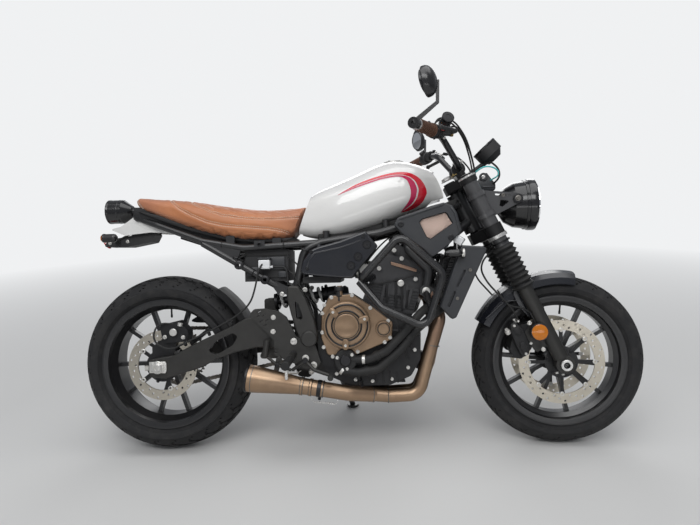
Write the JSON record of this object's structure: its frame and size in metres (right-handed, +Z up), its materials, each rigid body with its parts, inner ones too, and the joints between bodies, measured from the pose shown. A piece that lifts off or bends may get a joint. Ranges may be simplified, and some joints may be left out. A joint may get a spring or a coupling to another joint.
{
  "type": "cafe racer motorcycle",
  "caption": "Cafe racer motorcycle parked leaning on its side stand, with free wheels, turning steering and folding stand",
  "frame": {"origin": "on the ground, at the middle of the parked motorcycle's bounding box seen from above", "axes": "+X forward to the front wheel, +Y to the rider's left, +Z up; the motorcycle leans 10.5 degrees to +Y on its side stand"},
  "size_m": [2.0193, 0.9101, 1.2832],
  "materials": {
    "black_frame_paint": "satin",
    "pearl_white_paint": "gloss",
    "tan_leather": "satin",
    "black_plastic": "matte",
    "black_anodised": "satin",
    "dark_blue_grey_paint": "satin",
    "grey_plastic": "satin",
    "black_engine_cast": "satin",
    "dark_grey_cast": "satin",
    "bronze_cast": "satin",
    "black_rubber": "matte",
    "black_aluminium": "satin",
    "bronze_steel": "satin",
    "grey_aluminium": "satin",
    "bright_steel": "polished",
    "dark_steel": "satin",
    "brown_rubber": "matte",
    "clear_lens": "gloss",
    "tyre_rubber": "matte",
    "black_wheel_paint": "satin",
    "disc_steel": "satin"
  },
  "bodies": {
    "chassis": {"main_frame": "black_frame_paint", "subframe": "black_frame_paint", "tank": "pearl_white_paint", "seat": "tan_leather", "undertray": "black_plastic", "tail_cowl": "pearl_white_paint", "tail_lamp": "black_anodised", "plate_bracket": "black_plastic", "side_covers": "dark_blue_grey_paint", "air_scoops": "grey_plastic", "crankcase": "black_engine_cast", "cylinder_block": "dark_grey_cast", "engine_covers": "bronze_cast", "water_hoses": "black_rubber", "radiator": "black_aluminium", "radiator_shrouds": "grey_plastic", "exhaust_headers": "bronze_steel", "muffler": "bronze_steel", "swingarm": "grey_aluminium", "rear_axle": "bright_steel", "rear_shock": "bright_steel", "chain": "dark_steel", "hugger": "black_plastic", "rearsets": "grey_aluminium", "crash_bars": "black_frame_paint", "rear_caliper": "black_aluminium", "stand_bracket": "black_frame_paint", "intake": "black_plastic", "clutch_cover": "bronze_cast", "front_turn_lamps": "black_plastic", "rear_brake_hose": "black_rubber"},
    "steering": {"fork_yokes": "black_aluminium", "fork_tubes": "black_aluminium", "fork_gaiters": "black_rubber", "fork_lowers": "grey_aluminium", "front_axle": "bright_steel", "handlebar": "black_aluminium", "grips": "brown_rubber", "controls": "black_plastic", "mirrors": "black_aluminium", "gauge": "black_plastic", "headlight": "black_plastic", "headlight_lens": "clear_lens", "front_fender": "dark_blue_grey_paint", "front_calipers": "black_aluminium", "brake_hoses": "black_rubber", "throttle_cables": "black_rubber"},
    "front_wheel": {"front_tyre": "tyre_rubber", "front_rim": "black_wheel_paint", "front_discs": "disc_steel"},
    "rear_wheel": {"rear_tyre": "tyre_rubber", "rear_rim": "black_wheel_paint", "rear_disc": "disc_steel", "rear_sprocket": "dark_steel"},
    "stand": {"side_stand": "black_frame_paint"}
  },
  "joints": [
    {"name": "steering_turn", "type": "hinge", "parent": "chassis", "child": "steering", "pos_m": [0.39448, -0.04192, 0.82593], "axis": [-0.4352, 0.1641, 0.8852], "range_deg": [-28, 36]},
    {"name": "front_wheel_spin", "type": "hinge", "parent": "steering", "child": "front_wheel", "pos_m": [0.70989, -0.14354, 0.29659], "axis": [0.0628, 0.9864, -0.1519], "continuous": true},
    {"name": "rear_wheel_spin", "type": "hinge", "parent": "chassis", "child": "rear_wheel", "pos_m": [-0.695, -0.13731, 0.31127], "axis": [0, 0.9833, -0.1822], "continuous": true},
    {"name": "stand_fold", "type": "hinge", "parent": "chassis", "child": "stand", "pos_m": [-0.095, -0.01747, 0.23356], "axis": [-0.0023, 0.8484, 0.5293], "range_deg": [0, 92]}
  ]
}
